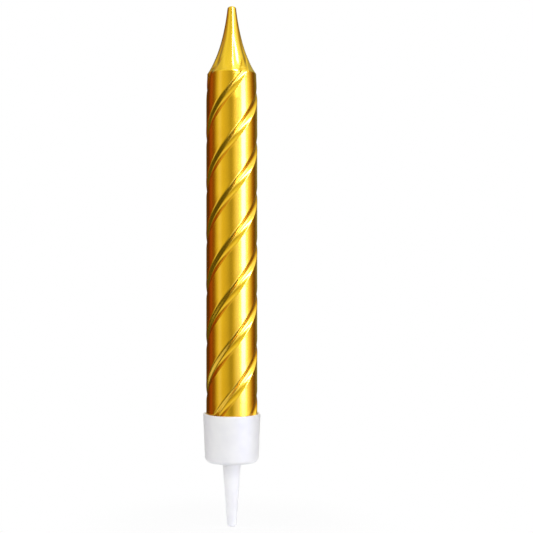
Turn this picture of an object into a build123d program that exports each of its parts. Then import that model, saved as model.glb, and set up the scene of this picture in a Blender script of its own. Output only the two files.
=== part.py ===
from build123d import *
import math
import os

# Spiral birthday candle: a core of wax round a cotton wick, a bright metallic coat over it with four
# twisted grooves rolled into it, a drawn-out tip, and a moulded cup with a spike for the cake.
# Millimetres, +Z up the candle, the axis on Z, and Z = 0 at the underside of the cup, where it sits
# on the cake.

# Candle stick
candle_diameter = 8.0        # over the lands between the grooves
candle_above_rim = 63.67     # from the cup's rim to the very top of the tip
least_coat = 0.15            # metallic coat under the grooves and over the tip
layer_gap = 0.03             # hairline between wick, core and coat

# Drawn-out tip
tip_length = 10.7            # from the shoulder to the top
tip_diameter = 1.32          # blunt top, just under its broken edge
tip_edge_chamfer = 0.22
neck_length = 3.5            # straight, slightly tapered neck under the top
neck_base_diameter = 2.34
tip_hollow_radius = 21.6     # hollow curve from the shoulder up to the neck
shoulder_drop = 0.18         # how much the stick's radius falls to the shoulder, where the tip starts
shoulder_drop_length = 4.5

# Spiral grooves: a soft upper edge, a wall, a nearly flat floor and a wall up to a sharp lip
groove_count = 4
spiral_lead = 31.7           # rise in one full right-hand turn
groove_angle_at_rim = 43.1   # degrees about +Z from +X, upper edge of one groove at the cup's rim
soft_edge_width = 0.30       # widths are measured round the stick, from the upper edge to the lip
upper_wall_width = 0.60
floor_width = 0.55
lip_wall_width = 0.50
soft_edge_depth = 0.05       # depths are below the lands
valley_depth = 0.42
floor_end_depth = 0.33

# Wick
wick_diameter = 0.7
wick_cover = 0.45            # wax left over the wick's top end

# Holder: cup and spike in one moulding
cup_height = 7.53
cup_wall = 0.44
cup_floor = 0.8
cup_taper = 0.31             # how much the cup's radius falls from its rim to its underside
cup_corner_radius = 0.65
rim_edge_chamfer = 0.1
fit_clearance = 0.05         # between the candle's foot and the cup's wall
spike_length = 10.12
spike_root_diameter = 2.9
spike_end_diameter = 1.45
spike_end_chamfer = 0.3

# Places worked out from the sizes
candle_radius = candle_diameter / 2
shoulder_radius = candle_radius - shoulder_drop
coat_bore_radius = candle_radius - valley_depth - least_coat
groove_width = soft_edge_width + upper_wall_width + floor_width + lip_wall_width
foot_z = cup_floor
top_z = cup_height + candle_above_rim
shoulder_z = top_z - tip_length
core_inset = least_coat + layer_gap
wick_top_z = top_z - core_inset - wick_cover
past_the_end = 1.0           # how far cutting shapes run past what they cut
past_the_side = 0.2


def turned(rise):
    """Degrees that the spiral turns while it rises this far."""
    return 360 * rise / spiral_lead


def on_section(depth, way_round):
    """A point on the stick's section, this far below the lands and this far round the stick."""
    angle = way_round / candle_radius
    radius = candle_radius - depth
    return Vector(radius * math.cos(angle), radius * math.sin(angle))


def carried_out(inner, edge):
    """Where a groove's side, carried on straight past its edge, is clear of the stick's side."""
    way = (edge - inner).normalized()
    along = inner.dot(way)
    reach = math.sqrt(along**2 - inner.length**2 + (candle_radius + past_the_side) ** 2)
    return inner + way * (reach - along)


def groove_line(start):
    """Corners of one groove's section, with its two sides carried on past the stick's side."""
    upper_edge = on_section(0, start)
    way_round = start + soft_edge_width
    wall_top = on_section(soft_edge_depth, way_round)
    way_round += upper_wall_width
    valley = on_section(valley_depth, way_round)
    way_round += floor_width
    floor_end = on_section(floor_end_depth, way_round)
    lip = on_section(0, start + groove_width)
    first = carried_out(wall_top, upper_edge)
    last = carried_out(floor_end, lip)
    return [first, wall_top, valley, floor_end, last]


def grooved_section():
    """The section that shapes the grooves. Between them it stands clear of the stick's side."""
    pitch = math.tau * candle_radius / groove_count
    grooves = [groove_line(number * pitch) for number in range(groove_count)]
    outline = []
    for number, groove in enumerate(grooves):
        next_groove = grooves[(number + 1) % groove_count]
        middle_of_land = on_section(-past_the_side, number * pitch + (groove_width + pitch) / 2)
        outline += [Line(*ends) for ends in zip(groove, groove[1:])]
        outline.append(ThreePointArc(groove[-1], middle_of_land, next_groove[0]))
    return make_face(outline).face()


def grooved_rod():
    """A round rod cut by the twisted section, from below the foot to past the tip."""
    bottom_z = foot_z - past_the_end
    height = top_z + past_the_end - bottom_z
    first_angle = groove_angle_at_rim + turned(bottom_z - cup_height)
    section = Pos(0, 0, bottom_z) * Rot(0, 0, first_angle) * grooved_section()
    twisted = Solid.extrude_linear_with_rotation(section, (0, 0, bottom_z), (0, 0, height), turned(height))
    seam_angle = first_angle + math.degrees(groove_width / 2 / candle_radius)
    round_rod = extrude(Circle(candle_radius), height - past_the_end)
    return Pos(0, 0, bottom_z + past_the_end / 2) * Rot(0, 0, seam_angle) * round_rod & twisted


def foot_radius(z):
    """Radius of the candle's foot, which narrows with the cup."""
    return candle_radius - cup_taper * (1 - z / cup_height)


def turned_form(inset, bottom_z):
    """The round form that limits the rod: narrowed foot, straight run, shoulder, hollow tip and blunt top."""
    outside = candle_radius + past_the_side
    foot_clear_z = cup_height * (1 + past_the_side / cup_taper)
    drop_clear_z = shoulder_z - shoulder_drop_length * (1 + past_the_side / shoulder_drop)
    foot = (foot_radius(bottom_z), bottom_z)
    shoulder = (shoulder_radius, shoulder_z)
    neck_base = (neck_base_diameter / 2, top_z - neck_length)
    tip_edge = (tip_diameter / 2, top_z - tip_edge_chamfer)
    top = (tip_diameter / 2 - tip_edge_chamfer, top_z)
    stick_side = Polyline(foot, (outside, foot_clear_z), (outside, drop_clear_z), shoulder)
    tip_side = RadiusArc(shoulder, neck_base, tip_hollow_radius) + Polyline(neck_base, tip_edge, top)
    right_side = stick_side + tip_side
    left_side = mirror(right_side, about=Plane.YZ)
    ends = [Line((-radius, z), (radius, z)) for radius, z in (foot, top)]
    profile = make_face(right_side.edges() + left_side.edges() + ends)
    if inset > 0:
        profile = offset(profile, amount=-inset, kind=Kind.INTERSECTION)
    half = split(profile, bisect_by=Plane.YZ, keep=Keep.TOP)
    return revolve(Plane.XZ * half, Axis.Z, 360)


def core_form(gap, bottom_z):
    """The plain round form inside the coat, drawn in by the gap, down to the bottom."""
    round_core = extrude(Circle(coat_bore_radius - gap), top_z - bottom_z)
    return turned_form(least_coat + gap, bottom_z - past_the_end) & Pos(0, 0, bottom_z) * round_core


def make_wick():
    """A straight cotton cord from the foot to just under the tip."""
    return Pos(0, 0, foot_z) * extrude(Circle(wick_diameter / 2), wick_top_z - foot_z)


def make_core():
    """The wax core, with the channel that the wick fills."""
    channel = extrude(Circle(wick_diameter / 2 + layer_gap), wick_top_z + layer_gap - foot_z)
    return core_form(layer_gap, foot_z) - Pos(0, 0, foot_z) * channel


def make_coat():
    """The metallic coat with its grooves, open at the foot."""
    return (grooved_rod() & turned_form(0, foot_z)) - core_form(0, foot_z - past_the_end)


def make_holder():
    """Cup and spike, turned from one profile."""
    rim_radius = candle_radius + fit_clearance + cup_wall
    bore_radius = rim_radius - cup_wall
    profile = make_face(
        Polyline(
            (0, -spike_length),
            (spike_end_diameter / 2 - spike_end_chamfer, -spike_length),
            (spike_end_diameter / 2, spike_end_chamfer - spike_length),
            (spike_root_diameter / 2, 0),
            (rim_radius - cup_taper, 0),
            (rim_radius, cup_height - rim_edge_chamfer),
            (rim_radius - rim_edge_chamfer, cup_height),
            (bore_radius + rim_edge_chamfer, cup_height),
            (bore_radius, cup_height - rim_edge_chamfer),
            (foot_radius(cup_floor) + fit_clearance, cup_floor),
            (0, cup_floor),
            close=True,
        )
    )
    cup_corner = profile.vertices().sort_by_distance((rim_radius - cup_taper, 0))[0]
    profile = fillet(cup_corner, cup_corner_radius)
    return revolve(Plane.XZ * profile, Axis.Z, 360)


os.makedirs("parts", exist_ok=True)
pieces = {
    "candle_holder": make_holder(),
    "wax_core": make_core(),
    "metallic_coat": make_coat(),
    "wick": make_wick(),
}
for name, piece in pieces.items():
    export_step(piece, f"parts/{name}.step")
    size = piece.bounding_box().size
    print(name, "volume", round(piece.volume, 2), "size", [round(side, 2) for side in size])
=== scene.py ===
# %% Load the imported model
import math

import bmesh
import bpy
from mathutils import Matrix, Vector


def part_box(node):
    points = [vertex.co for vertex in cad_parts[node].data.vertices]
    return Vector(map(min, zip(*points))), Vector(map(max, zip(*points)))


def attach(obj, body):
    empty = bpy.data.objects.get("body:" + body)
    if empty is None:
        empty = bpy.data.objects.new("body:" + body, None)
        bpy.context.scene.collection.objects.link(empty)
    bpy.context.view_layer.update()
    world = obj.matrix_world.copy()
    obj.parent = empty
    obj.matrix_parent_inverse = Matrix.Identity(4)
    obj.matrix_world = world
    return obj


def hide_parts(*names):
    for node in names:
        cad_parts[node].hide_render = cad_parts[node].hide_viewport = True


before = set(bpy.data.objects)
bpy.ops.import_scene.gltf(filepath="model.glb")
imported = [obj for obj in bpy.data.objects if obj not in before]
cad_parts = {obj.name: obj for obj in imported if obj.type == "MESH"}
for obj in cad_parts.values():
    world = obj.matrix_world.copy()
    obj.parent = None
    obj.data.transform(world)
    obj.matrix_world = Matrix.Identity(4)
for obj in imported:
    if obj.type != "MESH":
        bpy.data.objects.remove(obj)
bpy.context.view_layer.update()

# %% [markdown]
# # A spiral birthday candle
# The real thing is a thin wax stick with a cotton wick. It is dipped in a bright metallic coat, four
# grooves are rolled into the coat while it is soft, and the end is drawn out to a blunt point. A small
# white cup with a spike holds the stick on a cake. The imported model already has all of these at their
# true sizes. This script dresses them: it makes finer copies of the two pieces that show, the coat and
# the cup, and gives every piece a finish.
#
# Sizes are written in millimetres, as on a drawing, and become metres where a mesh is made.

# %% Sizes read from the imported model
MM = 0.001

coat_low, coat_high = (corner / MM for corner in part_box("metallic_coat"))
holder_low, holder_high = (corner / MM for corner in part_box("candle_holder"))
candle_radius = (coat_high.x - coat_low.x) / 2
foot_z, top_z = coat_low.z, coat_high.z
rim_radius = (holder_high.x - holder_low.x) / 2
rim_z, spike_end_z = holder_high.z, holder_low.z
print("candle radius", round(candle_radius, 3), "foot", round(foot_z, 3), "top", round(top_z, 3))
print("rim radius", round(rim_radius, 3), "rim", round(rim_z, 3), "spike end", round(spike_end_z, 3))

# %% [markdown]
# ## The groove's section
# Cut across the stick and look at one groove: the land above it swells a little, rounds over softly
# into a wall, turns in a valley, and sweeps up in a hollow curve that gets steeper until it meets the
# next land at a sharp lip. A rolled groove gets this lopsided shape because the tool drags the soft
# coat to one side. The shape could be drawn as a curve and swept, but a function of the way round the
# stick is shorter and can be asked for a depth anywhere.

# %% Groove section
groove_count = 4
spiral_lead = 31.7           # rise in one full right-hand turn
lip_angle_at_rim = 71.0      # degrees about +Z from +X
groove_width = 1.95          # round the stick, from the upper edge to the lip
wall_width = 0.9
valley_depth = 0.42
sweep_power = 2.4            # how late the hollow curve steepens
swell_height = 0.015         # the land's swelling beside the upper edge
swell_width = 0.3
pitch = math.tau * candle_radius / groove_count


def groove_depth(way):
    """How far below the lands the coat lies, this far round the stick from a groove's upper edge."""
    if way < 0 or way > groove_width:
        from_edge = min(abs(way), abs(way - pitch))
        return -swell_height * math.sin(math.pi * min(from_edge / swell_width, 1))
    if way < wall_width:
        part = way / wall_width
        return valley_depth * part * part * (3 - 2 * part)
    part = (way - wall_width) / (groove_width - wall_width)
    return valley_depth * (1 - part**sweep_power)


print("valley", groove_depth(wall_width), "lip", groove_depth(groove_width))

# %% [markdown]
# ## The candle's outline
# Seen from the side, the stick narrows a little inside its cup, runs straight, narrows again just
# under the shoulder, and is then drawn out into a hollow cone and a thin neck with a blunt, rounded
# top. Warm wax that is drawn out gets thinner by the same share for each millimetre, so one exponential
# curve gives the cone and the neck together. The outline is a radius for every height.

# %% Outline
foot_taper = 0.31
tip_length = 10.7
shoulder_z = top_z - tip_length
shoulder_drop = 0.18
shoulder_drop_length = 4.5
thin_radius = 0.63           # at the very top
flare = 0.715                # how much the radius grows in the first flare length, over e - 1
flare_length = 6.27
dome_height = 0.36


def soft_min(a, b, blend):
    """The smaller of two values, rounded where they cross."""
    return (a + b - math.sqrt((a - b) ** 2 + blend**2)) / 2


def stick_radius(z):
    """Radius of the stick below the shoulder, without its grooves."""
    if z < rim_z:
        return candle_radius - foot_taper * (1 - z / rim_z)
    drop_start = shoulder_z - shoulder_drop_length
    return candle_radius - shoulder_drop * max(0, (z - drop_start) / shoulder_drop_length)


def tip_radius(z):
    """Radius of the drawn-out tip and its rounded top."""
    below_top = max(0, top_z - z)
    radius = thin_radius + flare * (math.exp(below_top / flare_length) - 1)
    if below_top < dome_height:
        radius *= math.sqrt(1 - (1 - below_top / dome_height) ** 2)
    return radius


print("shoulder", round(stick_radius(shoulder_z), 3), "neck", round(tip_radius(top_z - 2), 3))

# %% [markdown]
# ## The gold coat
# A screw-shaped sweep makes the coat: a ring with the groove section is turned and lifted at the same
# time, so the mesh's own lines run along the grooves and keep the lips crisp. The ring has many points
# in the grooves and few on the plain lands. The sweep alone would be a screw of one size, so each point
# is then drawn in to the candle's outline. A wall inside, just outside the wax core, closes the coat.

# %% Ring with the groove section
points_in_groove = 24
points_on_land = 12
ring_points = groove_count * (points_in_groove + points_on_land)
groove_start = -0.15         # the fine part of the ring starts just above the upper edge
crisp_step = 0.04            # first point after the lip


def way_round(number):
    """Where a point of the ring lies within its pitch, from the groove's upper edge."""
    if number <= points_in_groove:
        return groove_start + (groove_width - groove_start) * number / points_in_groove
    after_lip = groove_width + crisp_step
    land = pitch + groove_start - after_lip
    return after_lip + land * (number - points_in_groove - 1) / (points_on_land - 1)


def polar(radius, angle, z):
    """A point in metres from a radius, an angle and a height in millimetres."""
    return radius * MM * math.cos(angle), radius * MM * math.sin(angle), z * MM


coat_mesh = bmesh.new()
ring = bmesh.ops.create_circle(coat_mesh, segments=ring_points, radius=candle_radius * MM)["verts"]
foot_turn = math.radians(lip_angle_at_rim) + math.tau * (foot_z - rim_z) / spiral_lead
ring.sort(key=lambda vert: math.atan2(vert.co.y, vert.co.x) % math.tau)
for index, vert in enumerate(ring):
    groove, number = divmod(index, points_in_groove + points_on_land)
    way = way_round(number)
    angle = foot_turn + (groove * pitch + way - groove_width) / candle_radius
    vert.co = polar(candle_radius - groove_depth(way), angle, foot_z)
print("ring points", len(ring))

# %% Screw sweep
sweep_steps = 520
sweep_rise = top_z - foot_z
bmesh.ops.spin(
    coat_mesh,
    geom=coat_mesh.edges[:],
    cent=(0, 0, 0),
    axis=(0, 0, 1),
    dvec=(0, 0, sweep_rise * MM / sweep_steps),
    angle=math.tau * sweep_rise / spiral_lead,
    steps=sweep_steps,
)
print("swept faces", len(coat_mesh.faces))

# %% Draw the sweep in to the outline
edge_blend = 0.06            # rounding where the tip starts
tip_crowding = 1.5           # gathers the sweep's rings towards the top, where the dome needs them
pleat_height = 0.045
pleat_reach = 7.0            # how far up the tip the folds go
pleat_lean = 0.6             # below 1 the folds are highest near the shoulder
pleat_waves = [(1.0, 11, -0.19), (0.6, 17, 2.84), (0.5, 5, 0.0)]     # share, folds round the tip, shift
runout_length = 2.6          # how far the grooves run on up the tip
runout_depth = 0.15          # the most that a groove keeps of its depth there
runout_fade = 0.6            # share of that length over which they fade
most_sunk = 0.17             # the wax core lies just below this on the tip


def pleats(angle, z):
    """Soft upright folds on the tip, left by drawing it out."""
    up_tip = (z - shoulder_z) / pleat_reach
    if not 0 < up_tip < 1:
        return 0
    fold = sum(share * math.sin(count * angle + shift) for share, count, shift in pleat_waves)
    return pleat_height * fold * math.sin(math.pi * up_tip**pleat_lean) ** 2


def runout(depth, z):
    """How deep a groove still is on the tip, where it fades out."""
    if z < shoulder_z:
        return 0
    left = min(1, max(0, 1 - (z - shoulder_z) / runout_length) / runout_fade)
    kept = runout_depth * (1 - math.exp(-max(0, depth) / runout_depth))
    return kept * left * left * (3 - 2 * left)


for vert in coat_mesh.verts:
    x, y, z = (value / MM for value in vert.co)
    radius = math.hypot(x, y)
    angle = math.atan2(y, x)
    depth = candle_radius - radius
    up_tip = min(1, max(0, (z - shoulder_z) / tip_length))
    if up_tip > 0:
        z = shoulder_z + tip_length * (1 - (1 - up_tip) ** tip_crowding)
    if z < shoulder_z:
        radius = min(radius, stick_radius(z) + swell_height)
    drawn = tip_radius(z) - min(most_sunk, runout(depth, z) - pleats(angle, z))
    vert.co = polar(max(0, soft_min(radius, drawn, edge_blend * min(1, drawn))), angle, z)
print("tip mesh reaches", round(max(vert.co.z for vert in coat_mesh.verts) / MM, 3))

# %% Inner wall and clean-up
least_coat = 0.15
tip_coat = 0.165             # on the tip, measured level
straight_bore = 0.6          # how far past the shoulder the bore stays straight
bore_steps = 12
merge_distance = 0.0005
bore_radius = candle_radius - valley_depth - least_coat
bore_top_z = shoulder_z + straight_bore
bore_end_z = top_z - least_coat
inner_wall = [(bore_radius, foot_z), (bore_radius, bore_top_z)]
for step in range(1, bore_steps):
    z = bore_top_z + (bore_end_z - bore_top_z) * step / bore_steps
    inner_wall.append((max(0, min(bore_radius, tip_radius(z + least_coat) - tip_coat)), z))
inner_wall.append((0, bore_end_z))

rim_edges = [edge for edge in coat_mesh.edges if edge.is_boundary and edge.verts[0].co.z < rim_z * MM]
for radius, z in inner_wall:
    grown = bmesh.ops.extrude_edge_only(coat_mesh, edges=rim_edges)["geom"]
    rim_edges = [item for item in grown if isinstance(item, bmesh.types.BMEdge) and item.is_boundary]
    for vert in {vert for edge in rim_edges for vert in edge.verts}:
        vert.co = polar(radius, math.atan2(vert.co.y, vert.co.x), z)

bmesh.ops.remove_doubles(coat_mesh, verts=coat_mesh.verts[:], dist=merge_distance * MM)
bmesh.ops.dissolve_degenerate(coat_mesh, edges=coat_mesh.edges[:], dist=merge_distance * MM)
bmesh.ops.recalc_face_normals(coat_mesh, faces=coat_mesh.faces[:])
open_edges = sum(not edge.is_manifold for edge in coat_mesh.edges)
print("coat faces", len(coat_mesh.faces), "open edges", open_edges)

# %% Coat piece
SMOOTH_ANGLE = math.radians(50)


def make_piece(name, shape, body, node):
    """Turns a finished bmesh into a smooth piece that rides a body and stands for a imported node."""
    for face in shape.faces:
        face.smooth = True
    for edge in shape.edges:
        edge.smooth = not edge.is_manifold or edge.calc_face_angle(0) < SMOOTH_ANGLE
    mesh = bpy.data.meshes.new(name)
    shape.to_mesh(mesh)
    shape.free()
    piece = bpy.data.objects.new(name, mesh)
    bpy.context.scene.collection.objects.link(piece)
    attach(piece, body)
    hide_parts(node)
    print(name, "triangles", sum(len(face.vertices) - 2 for face in mesh.polygons))
    return piece


gold_coat = make_piece("gold_coat", coat_mesh, "candle", "metallic_coat")

# %% [markdown]
# ## The moulded holder
# Cup and spike are one moulding. Half of its section, drawn as a line of corners, is spun round the
# axis. A mould leaves no sharp corner, so the spun corners are bevelled afterwards, each by the radius
# it has on the real one: a fine one on the rim, a large one under the cup, a small one where the spike
# starts and a full one on the spike's end.

# %% Holder section and spin
cup_wall = 0.44
cup_floor = 0.8
fit_clearance = 0.05         # between the candle's foot and the cup's wall
spike_root_radius = 1.45
spike_end_radius = 0.725
underside_radius = rim_radius - foot_taper
bore_floor_radius = stick_radius(cup_floor) + fit_clearance
spin_steps = 96
same_place = 0.001           # points nearer than this are one

section = {
    "spike_end": (spike_end_radius, spike_end_z),
    "spike_root": (spike_root_radius, 0),
    "cup_corner": (underside_radius, 0),
    "rim_outside": (rim_radius, rim_z),
    "rim_inside": (rim_radius - cup_wall, rim_z),
    "bore_floor": (bore_floor_radius, cup_floor),
}
holder_mesh = bmesh.new()
corners = [(0, spike_end_z), *section.values(), (0, cup_floor)]
line = [holder_mesh.verts.new((radius * MM, 0, z * MM)) for radius, z in corners]
for start, end in zip(line, line[1:]):
    holder_mesh.edges.new((start, end))
bmesh.ops.spin(
    holder_mesh,
    geom=holder_mesh.verts[:] + holder_mesh.edges[:],
    cent=(0, 0, 0),
    axis=(0, 0, 1),
    angle=math.tau,
    steps=spin_steps,
    use_merge=True,
)
bmesh.ops.remove_doubles(holder_mesh, verts=holder_mesh.verts[:], dist=same_place * MM)
bmesh.ops.recalc_face_normals(holder_mesh, faces=holder_mesh.faces[:])
print("holder faces", len(holder_mesh.faces))

# %% Round the holder's corners
corner_radii = {
    "spike_end": 0.34,
    "spike_root": 0.3,
    "cup_corner": 0.7,
    "rim_outside": 0.12,
    "rim_inside": 0.1,
    "bore_floor": 0.25,
}
bevel_segments = 6


def at_corner(vert, radius, z):
    """Whether a vertex lies on the ring that a corner of the section makes."""
    off_level = abs(vert.co.z / MM - z)
    off_ring = abs(vert.co.xy.length / MM - radius)
    return max(off_level, off_ring) < same_place


for corner, (radius, z) in section.items():
    around = [edge for edge in holder_mesh.edges if all(at_corner(vert, radius, z) for vert in edge.verts)]
    bmesh.ops.bevel(
        holder_mesh,
        geom=around,
        offset=corner_radii[corner] * MM,
        offset_type="OFFSET",
        segments=bevel_segments,
        profile=0.5,
        affect="EDGES",
        material=-1,
    )
bmesh.ops.recalc_face_normals(holder_mesh, faces=holder_mesh.faces[:])
moulded_holder = make_piece("moulded_holder", holder_mesh, "holder", "candle_holder")

# %% [markdown]
# ## Materials
# One helper adds a node, sets it and links it. Colours are written as sRGB hex, as a colour picker
# shows them, and one function turns them into the linear values that shaders use.

# %% Material helpers
def linear(code):
    """An sRGB hex colour as linear red, green, blue and alpha."""
    parts = [int(code[start:start + 2], 16) / 255 for start in (1, 3, 5)]
    curve = [part / 12.92 if part <= 0.04045 else ((part + 0.055) / 1.055) ** 2.4 for part in parts]
    return (*curve, 1)


def add_node(tree, kind, values=None, **settings):
    """Adds a node. Values go to its inputs: a socket of another node is linked, the rest is set."""
    node = tree.nodes.new(kind)
    for name, value in settings.items():
        setattr(node, name, value)
    for name, value in (values or {}).items():
        if isinstance(value, bpy.types.NodeSocket):
            tree.links.new(value, node.inputs[name])
        else:
            node.inputs[name].default_value = value
    return node


def new_material(name):
    """An empty node material and its tree, with the object's own coordinates in it."""
    material = bpy.data.materials.new(name)
    material.use_nodes = True
    material.node_tree.nodes.clear()
    place = add_node(material.node_tree, "ShaderNodeTexCoord").outputs["Object"]
    return material, material.node_tree, place


def set_stops(ramp, stops):
    """Gives a colour ramp its stops, as pairs of place and linear colour."""
    elements = ramp.color_ramp.elements
    for element in list(elements)[1:]:
        elements.remove(element)
    elements[0].position, elements[0].color = stops[0]
    for position, colour in stops[1:]:
        elements.new(position).color = colour


def finish_material(tree, shader):
    """Links the shader to the material's output."""
    add_node(tree, "ShaderNodeOutputMaterial", {"Surface": shader.outputs["BSDF"]})


def per_metre(millimetres):
    """The texture scale at which one feature has this size."""
    return 1 / (millimetres * MM)


def dress(piece, material):
    """Gives a piece this material and no other."""
    piece.data.materials.clear()
    piece.data.materials.append(material)


def plainly_seen(tree, path):
    """1 for rays that come from the camera, straight or through something clear, and 0 for the rest."""
    rays = {0: path.outputs["Is Camera Ray"], 1: path.outputs["Is Transmission Ray"]}
    return add_node(tree, "ShaderNodeMath", rays, operation="MAXIMUM").outputs[0]


# %% [markdown]
# ### Gold lacquer
# The coat is a metallic lacquer: fine metal flakes in a clear yellow binder. The flakes give a soft
# satin mirror, the binder a thin clear gloss over it. Light that comes in at a slant passes through
# more binder, so the colour gets deeper towards the edges, which the clear coat's tint does. Slight
# unevenness in how the flakes lie makes the mirror a little cloudy, and long shallow ripples, left when
# the coat ran down, bend the stripes in it.

# %% Gold lacquer
material, tree, place = new_material("gold_metallic_lacquer")
cloud = add_node(tree, "ShaderNodeTexNoise", {"Vector": place, "Scale": per_metre(2.4), "Detail": 3})
flake = add_node(tree, "ShaderNodeTexNoise", {"Vector": place, "Scale": per_metre(0.16), "Detail": 2})
tone = add_node(tree, "ShaderNodeValToRGB", {"Fac": cloud.outputs["Fac"]})
set_stops(tone, [(0.3, linear("#e9c21a")), (0.7, linear("#eec91c"))])
gloss = add_node(tree, "ShaderNodeMapRange", {"Value": flake.outputs["Fac"], "To Min": 0.2, "To Max": 0.3})
upright = add_node(tree, "ShaderNodeMapping", {"Vector": place, "Scale": (1, 1, 0.3)})
ripple = add_node(
    tree,
    "ShaderNodeTexNoise",
    {"Vector": upright.outputs["Vector"], "Scale": per_metre(1.6), "Detail": 1},
)
waves = add_node(
    tree,
    "ShaderNodeBump",
    {"Height": ripple.outputs["Fac"], "Strength": 0.6, "Distance": 0.03 * MM},
)
relief = add_node(
    tree,
    "ShaderNodeBump",
    {
        "Height": flake.outputs["Fac"],
        "Strength": 0.12,
        "Distance": 0.004 * MM,
        "Normal": waves.outputs["Normal"],
    },
)
lacquer = add_node(
    tree,
    "ShaderNodeBsdfPrincipled",
    {
        "Base Color": tone.outputs["Color"],
        "Metallic": 1.0,
        "Roughness": gloss.outputs["Result"],
        "Normal": relief.outputs["Normal"],
        "Coat Weight": 1.0,
        "Coat Roughness": 0.16,
        "Coat IOR": 1.5,
        "Coat Tint": linear("#fff3cc"),
    },
)
finish_material(tree, lacquer)
dress(gold_coat, material)

# %% [markdown]
# ### White polyethylene
# The holder is injection-moulded in a soft white plastic with a satin skin. It lets a little light in,
# which softens its shadows, and its skin is not quite even.

# %% White polyethylene
material, tree, place = new_material("white_moulded_polyethylene")
skin = add_node(tree, "ShaderNodeTexNoise", {"Vector": place, "Scale": per_metre(1.8), "Detail": 4})
tone = add_node(tree, "ShaderNodeValToRGB", {"Fac": skin.outputs["Fac"]})
set_stops(tone, [(0.3, linear("#eeeef2")), (0.7, linear("#f4f4f6"))])
gloss = add_node(tree, "ShaderNodeMapRange", {"Value": skin.outputs["Fac"], "To Min": 0.4, "To Max": 0.5})
relief = add_node(
    tree,
    "ShaderNodeBump",
    {"Height": skin.outputs["Fac"], "Strength": 0.2, "Distance": 0.01 * MM},
)
plastic = add_node(
    tree,
    "ShaderNodeBsdfPrincipled",
    {
        "Base Color": tone.outputs["Color"],
        "Roughness": gloss.outputs["Result"],
        "Normal": relief.outputs["Normal"],
        "IOR": 1.5,
        "Subsurface Weight": 0.15,
        "Subsurface Radius": (1.0, 1.0, 1.0),
        "Subsurface Scale": 0.4 * MM,
    },
)
finish_material(tree, plastic)
dress(moulded_holder, material)

# %% [markdown]
# ### Paraffin wax
# The core shows only at the foot, when the candle is out of its cup. Cast paraffin is milky: light goes
# well into it and comes out soft, and slow cooling leaves faint cloudy patches.

# %% Paraffin wax
material, tree, place = new_material("cast_paraffin_wax")
cloud = add_node(tree, "ShaderNodeTexNoise", {"Vector": place, "Scale": per_metre(1.5), "Detail": 4})
tone = add_node(tree, "ShaderNodeValToRGB", {"Fac": cloud.outputs["Fac"]})
set_stops(tone, [(0.3, linear("#efe6cf")), (0.7, linear("#f6f0e0"))])
gloss = add_node(tree, "ShaderNodeMapRange", {"Value": cloud.outputs["Fac"], "To Min": 0.42, "To Max": 0.56})
wax = add_node(
    tree,
    "ShaderNodeBsdfPrincipled",
    {
        "Base Color": tone.outputs["Color"],
        "Roughness": gloss.outputs["Result"],
        "IOR": 1.44,
        "Subsurface Weight": 0.5,
        "Subsurface Radius": (1.0, 0.8, 0.6),
        "Subsurface Scale": 1.2 * MM,
    },
)
finish_material(tree, wax)
dress(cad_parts["wax_core"], material)

# %% [markdown]
# ### Cotton wick
# The wick is braided cotton soaked in wax. Only its cut end shows, in the middle of the foot, where the
# threads are bundles of pale fibre. The colour darkens into the gaps between them: painted shade.

# %% Cotton wick
material, tree, place = new_material("braided_cotton")
strand_and_painted_shade = add_node(tree, "ShaderNodeTexVoronoi", {"Vector": place, "Scale": per_metre(0.18)})
# Painted shade: the colour darkens from the middle of each bundle into the gaps between bundles.
tone = add_node(tree, "ShaderNodeValToRGB", {"Fac": strand_and_painted_shade.outputs["Distance"]})
set_stops(tone, [(0.0, linear("#f4ecd8")), (0.8, linear("#b9ab8c"))])
relief = add_node(
    tree,
    "ShaderNodeBump",
    {"Height": strand_and_painted_shade.outputs["Distance"], "Strength": 0.6, "Distance": 0.05 * MM},
    invert=True,
)
cotton = add_node(
    tree,
    "ShaderNodeBsdfPrincipled",
    {
        "Base Color": tone.outputs["Color"],
        "Roughness": 0.85,
        "Normal": relief.outputs["Normal"],
        "Sheen Weight": 0.2,
    },
)
finish_material(tree, cotton)
dress(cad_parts["wick"], material)

# %% [markdown]
# ## Plinth
# The candle stands on the end of its spike on a small round white plinth. Matt paper would look grey
# here and there, so the camera, and everything that mirrors the plinth, sees it mostly as plain white.
# The rest of the paper still takes the candle's shadow. The white grows to the full towards the edge, so
# that the plinth melts into the white behind it.

# %% Plinth
plinth_radius = 30.0
plinth_gap = 0.05            # keeps the plinth's face clear of the spike's end
shadow_reach = 12.0          # the white starts to grow here
least_white = 0.92           # share of plain white where the shadow lies
plinth_z = spike_end_z - plinth_gap
plinth_mesh = bmesh.new()
bmesh.ops.create_circle(plinth_mesh, cap_ends=True, segments=96, radius=plinth_radius * MM)
bmesh.ops.translate(plinth_mesh, verts=plinth_mesh.verts[:], vec=(0, 0, plinth_z * MM))
mesh = bpy.data.meshes.new("plinth")
plinth_mesh.to_mesh(mesh)
plinth_mesh.free()
plinth = bpy.data.objects.new("plinth", mesh)
bpy.context.scene.collection.objects.link(plinth)

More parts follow.
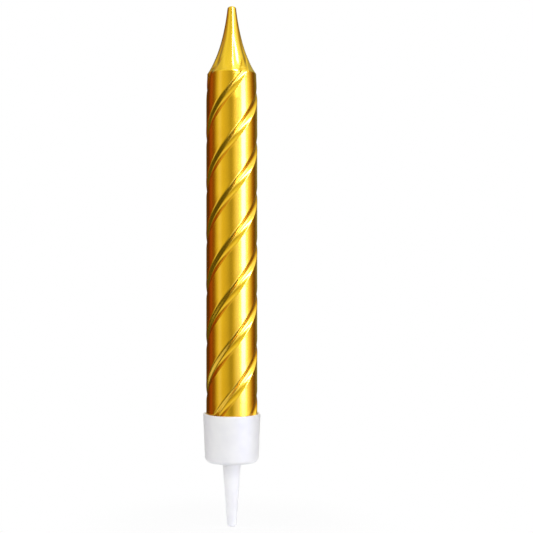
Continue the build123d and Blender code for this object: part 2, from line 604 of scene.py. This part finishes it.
material, tree, place = new_material("matt_white_paper")
fibre = add_node(tree, "ShaderNodeTexNoise", {"Vector": place, "Scale": per_metre(3.0), "Detail": 3})
tone = add_node(tree, "ShaderNodeValToRGB", {"Fac": fibre.outputs["Fac"]})
set_stops(tone, [(0.3, linear("#fafafa")), (0.7, linear("#fcfcfc"))])
paper = add_node(tree, "ShaderNodeBsdfPrincipled", {"Base Color": tone.outputs["Color"], "Roughness": 0.9})
plain_white = add_node(tree, "ShaderNodeEmission", {"Strength": 1.0})
path = add_node(tree, "ShaderNodeLightPath")
rays = {0: plainly_seen(tree, path), 1: path.outputs["Is Glossy Ray"]}
seen_or_mirrored = add_node(tree, "ShaderNodeMath", rays, operation="MAXIMUM")
reach = add_node(tree, "ShaderNodeVectorMath", {0: place}, operation="LENGTH")
fade = add_node(
    tree,
    "ShaderNodeMapRange",
    {
        "Value": reach.outputs["Value"],
        "From Min": shadow_reach * MM,
        "From Max": plinth_radius * MM,
        "To Min": least_white,
        "To Max": 1.0,
    },
    interpolation_type="SMOOTHSTEP",
)
whiten = add_node(
    tree,
    "ShaderNodeMath",
    {0: seen_or_mirrored.outputs[0], 1: fade.outputs["Result"]},
    operation="MULTIPLY",
)
surface = add_node(
    tree,
    "ShaderNodeMixShader",
    {"Fac": whiten.outputs[0], 1: paper.outputs["BSDF"], 2: plain_white.outputs["Emission"]},
)
add_node(tree, "ShaderNodeOutputMaterial", {"Surface": surface.outputs["Shader"]})
dress(plinth, material)
print("plinth at", round(plinth_z, 2), "mm")

# %% [markdown]
# ## Room
# A bright round stick is a mirror: each upright stripe on it shows another part of the room. So the room
# is written as light by direction. A colour ramp goes once round the candle, from the wall behind it by
# the left, the camera's side and the right back to the wall behind. Above, skylight falls on the walls
# more and more, which the tip mirrors. Below, they pass into a dark floor, which the grooves' upper walls
# mirror. The camera itself sees plain white. An image of a real room could do the same, but a few stops
# are easy to read and to change. The room is only for mirroring, so matt surfaces don't take its light.

# %% Room
# Colours of the light, as red, green and blue.
white = (1.0, 1.0, 1.0)
window = (0.95, 1.0, 1.8)
skylight = (0.9, 1.06, 0.6)
north_light = (0.9, 1.0, 3.2)
amber = (1.0, 0.9, 0.3)
brown = (1.0, 0.36, 0.07)
rust = (1.0, 0.22, 0.03)

# Degrees round the candle from the camera's side, to the right, with the brightness and the wall there.
room_stops = [
    (-180, 1.0, white), (-175, 0.7, white), (-168, 0.2, amber), (-150, 0.12, brown), (-128, 0.07, brown),
    (-116, 0.26, rust), (-106, 0.48, rust), (-94, 0.2, brown), (-84, 0.28, brown), (-74, 0.6, amber),
    (-66, 0.95, amber), (-56, 1.12, white), (-44, 0.92, amber), (-18, 0.68, amber), (-11, 0.54, amber),
    (-4, 0.34, amber), (2, 0.38, amber), (10, 0.78, amber), (18, 0.95, white), (30, 1.15, window),
    (44, 1.35, window), (72, 1.35, window), (80, 1.15, white), (88, 0.95, amber), (104, 0.4, brown),
    (114, 0.2, brown), (124, 0.1, brown), (136, 0.2, amber), (150, 0.22, amber), (163, 0.34, amber),
    (170, 0.9, white), (180, 1.0, white),
]
sky_level = 1.3
sky_share = 0.55             # how much of the walls it takes up at the top
sky_from, sky_full = 0.25, 0.8           # heights of a direction of length 1
floor_level = 0.1
floor_from, floor_full = -0.15, -0.5


def lit(level, wall):
    """The light from a wall of this brightness."""
    return (*(level * part for part in wall), 1)


world = bpy.data.worlds.new("studio")
bpy.context.scene.world = world
world.use_nodes = True
tree = world.node_tree
tree.nodes.clear()
direction = add_node(tree, "ShaderNodeTexCoord").outputs["Generated"]
parts = add_node(tree, "ShaderNodeSeparateXYZ", {"Vector": direction})
toward_camera = add_node(tree, "ShaderNodeMath", {0: parts.outputs["Y"], 1: -1.0}, operation="MULTIPLY")
angle = add_node(
    tree, "ShaderNodeMath", {0: parts.outputs["X"], 1: toward_camera.outputs[0]}, operation="ARCTAN2"
)
turn = add_node(
    tree,
    "ShaderNodeMapRange",
    {"Value": angle.outputs[0], "From Min": -math.pi, "From Max": math.pi},
)
walls = add_node(tree, "ShaderNodeValToRGB", {"Fac": turn.outputs["Result"]})
set_stops(walls, [(turned / 360 + 0.5, lit(level, wall)) for turned, level, wall in room_stops])
up = add_node(
    tree,
    "ShaderNodeMapRange",
    {"Value": parts.outputs["Z"], "From Min": sky_from, "From Max": sky_full, "To Max": sky_share},
    interpolation_type="SMOOTHSTEP",
)
down = add_node(
    tree,
    "ShaderNodeMapRange",
    {"Value": parts.outputs["Z"], "From Min": floor_from, "From Max": floor_full},
    interpolation_type="SMOOTHSTEP",
)
roofed = add_node(
    tree,
    "ShaderNodeMix",
    {"Factor": up.outputs["Result"], "A": walls.outputs["Color"], "B": lit(sky_level, skylight)},
    data_type="RGBA",
)
room = add_node(
    tree,
    "ShaderNodeMix",
    {"Factor": down.outputs["Result"], "A": roofed.outputs["Result"], "B": lit(floor_level, amber)},
    data_type="RGBA",
)
path = add_node(tree, "ShaderNodeLightPath")
shown = add_node(
    tree,
    "ShaderNodeMix",
    {"Factor": plainly_seen(tree, path), "A": room.outputs["Result"], "B": lit(1.0, white)},
    data_type="RGBA",
)
sky = add_node(tree, "ShaderNodeBackground", {"Color": shown.outputs["Result"]})
add_node(tree, "ShaderNodeOutputWorld", {"Surface": sky.outputs["Background"]})
world.cycles_visibility.diffuse = False
print("room stops", len(room_stops))

# %% [markdown]
# ## Softboxes
# Lamp panels do the rest. Four wide and plain ones, above, left, right and behind, light the matt surfaces
# and give the white cup its soft shading. They don't show in the gold. Two strips on the right do the
# opposite: they show only as reflections, a low one as the white stripe on the stick and a high one as
# the streak on the tip.

# %% Softboxes
aim_z = 40.0                 # height on the candle that the panels face
lamp_distance = 400.0


def softbox(name, turn, lift, width, height, radiance, colour=white):
    """A lamp panel that faces the candle, this many degrees round it and this many above the level."""
    lamp = bpy.data.lights.new(name, "AREA")
    lamp.shape = "RECTANGLE"
    lamp.size = width * MM
    lamp.size_y = height * MM
    lamp.energy = radiance * math.pi * lamp.size * lamp.size_y
    lamp.color = colour
    panel = bpy.data.objects.new(name, lamp)
    turn, lift = math.radians(turn), math.radians(lift)
    reach = lamp_distance * math.cos(lift)
    panel.location = (
        reach * math.sin(turn) * MM,
        -reach * math.cos(turn) * MM,
        (aim_z + lamp_distance * math.sin(lift)) * MM,
    )
    panel.rotation_euler = (math.pi / 2 - lift, 0, turn)
    panel.visible_camera = False
    bpy.context.scene.collection.objects.link(panel)
    print(name, "power", round(lamp.energy, 2), "W")
    return panel


panels = [
    softbox("overhead_panel", turn=-15, lift=48, width=900, height=240, radiance=1.35),
    softbox("left_panel", turn=-66, lift=8, width=420, height=420, radiance=1.85),
    softbox("right_panel", turn=49, lift=8, width=420, height=420, radiance=2.75),
    softbox("back_panel", turn=180, lift=12, width=600, height=420, radiance=1.9),
]
for panel in panels:
    panel.visible_glossy = False
strips = [
    softbox("low_strip", turn=54, lift=4, width=150, height=210, radiance=8.5, colour=window),
    softbox("high_strip", turn=24, lift=43, width=95, height=340, radiance=9, colour=north_light),
]
for strip in strips:
    strip.visible_diffuse = False

# %% [markdown]
# ## Camera
# The picture was taken level, from a little over twice the candle's length away. The candle stands left
# of the picture's middle, so the view is shifted sideways instead of turned.

# %% Camera
picture_width = 533
candle_pixel = 231.8
camera_distance = 169.8
camera_z = 30.48
field_of_view = 27.6

lens = bpy.data.cameras.new("camera")
lens.sensor_width = 36
lens.lens = lens.sensor_width / 2 / math.tan(math.radians(field_of_view) / 2)
lens.shift_x = (picture_width / 2 - candle_pixel) / picture_width
lens.clip_start = 0.01
camera = bpy.data.objects.new("camera", lens)
camera.location = (0, -camera_distance * MM, camera_z * MM)
camera.rotation_euler = (math.radians(90), 0, 0)
bpy.context.scene.collection.objects.link(camera)
bpy.context.scene.camera = camera
bpy.context.scene.view_settings.view_transform = "Standard"
print("lens", round(lens.lens, 1), "shift", round(lens.shift_x, 3))
